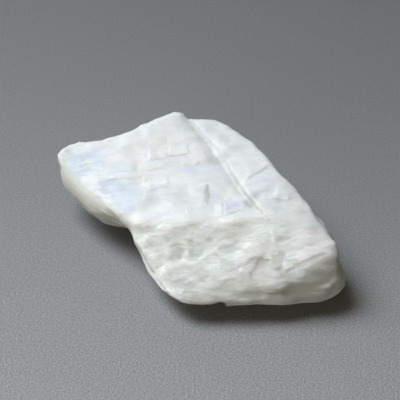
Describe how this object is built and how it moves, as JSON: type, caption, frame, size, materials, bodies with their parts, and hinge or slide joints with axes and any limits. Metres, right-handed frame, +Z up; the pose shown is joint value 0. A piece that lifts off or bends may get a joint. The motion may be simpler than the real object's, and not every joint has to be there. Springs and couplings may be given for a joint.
{
  "type": "rough moonstone",
  "caption": "Rough milky moonstone: a flat-lying cleavage fragment with a stepped, layered top, a chipped sloping front and a raised side rib, resting on a small flat.",
  "frame": {"origin": "under the middle of the stone's outline, on the surface it rests on", "axes": "+X along the cleavage grain, which is the stone's longest side; +Y from the broken front slope towards the thin back edge; +Z up, out of the resting flat's opposite side"},
  "size_m": [0.0514, 0.0402, 0.0124],
  "materials": {
    "moonstone": "satin"
  },
  "bodies": {
    "root": {"moonstone": "moonstone"}
  },
  "joints": []
}
